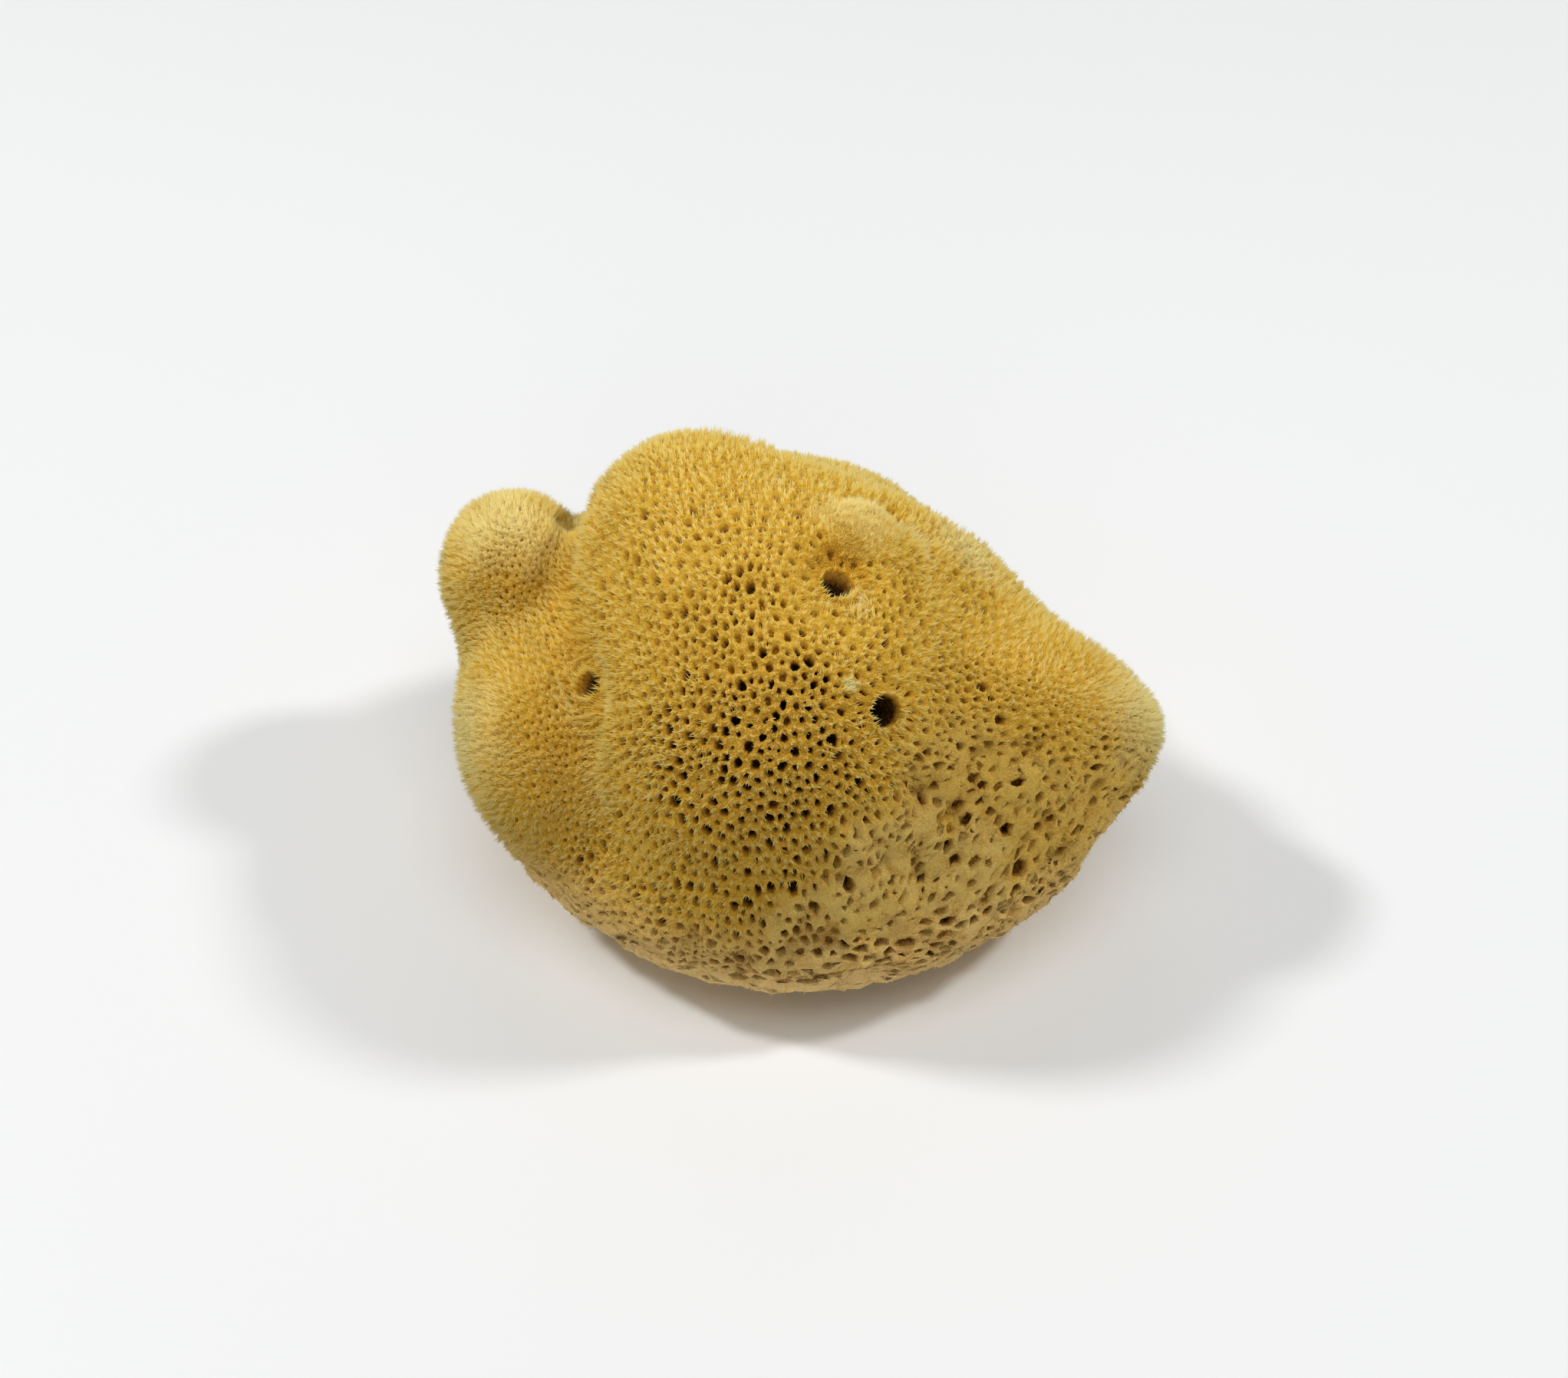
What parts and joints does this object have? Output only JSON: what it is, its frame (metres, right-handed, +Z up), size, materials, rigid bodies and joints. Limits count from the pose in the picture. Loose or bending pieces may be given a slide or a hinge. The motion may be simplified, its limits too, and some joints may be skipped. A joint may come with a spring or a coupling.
{
  "type": "sea sponge",
  "caption": "Dry natural sea sponge: a lumpy honey-coloured dome with side lobes, pitted all over, cut off flat underneath so that it rests on the cut.",
  "frame": {"origin": "middle of the box's underside, on the flat cut that the sponge rests on", "axes": "+X along the longest side, towards the pointed right lobe; +Z up out of the cut; the side in the picture faces -Y"},
  "size_m": [0.1124, 0.0904, 0.0664],
  "materials": {
    "spongin": "matt"
  },
  "bodies": {
    "root": {"sponge": "spongin"}
  },
  "joints": []
}
